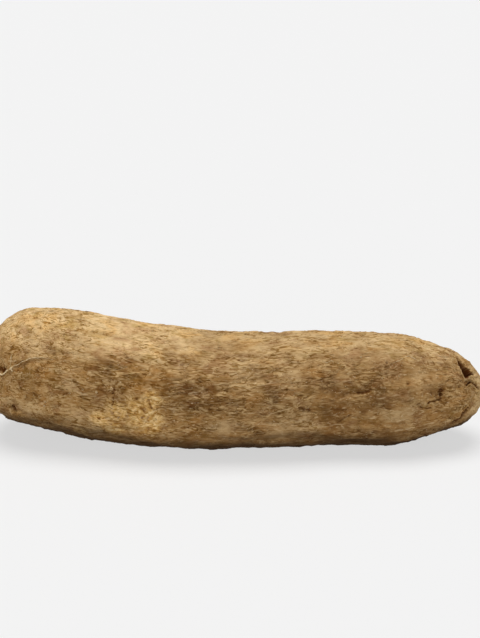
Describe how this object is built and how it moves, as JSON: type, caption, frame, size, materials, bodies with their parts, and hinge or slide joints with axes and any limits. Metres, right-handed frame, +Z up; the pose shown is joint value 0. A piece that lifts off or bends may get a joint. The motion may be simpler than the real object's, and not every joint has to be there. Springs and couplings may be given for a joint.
{
  "type": "white yam tuber",
  "caption": "Whole raw yam tuber in rough, fissured brown skin, lying on its side, with one blunt end and one tapered, torn end.",
  "frame": {"origin": "on the table, under the middle of the tuber's bounding box", "axes": "+X along the tuber towards its tapered end, +Y to the back, +Z up"},
  "size_m": [0.4014, 0.1178, 0.1032],
  "materials": {
    "corky_skin": "matt corky yam skin, dusty tan over darker brown fissures that run along the tuber"
  },
  "bodies": {
    "root": {"yam_tuber": "corky_skin"}
  },
  "joints": []
}
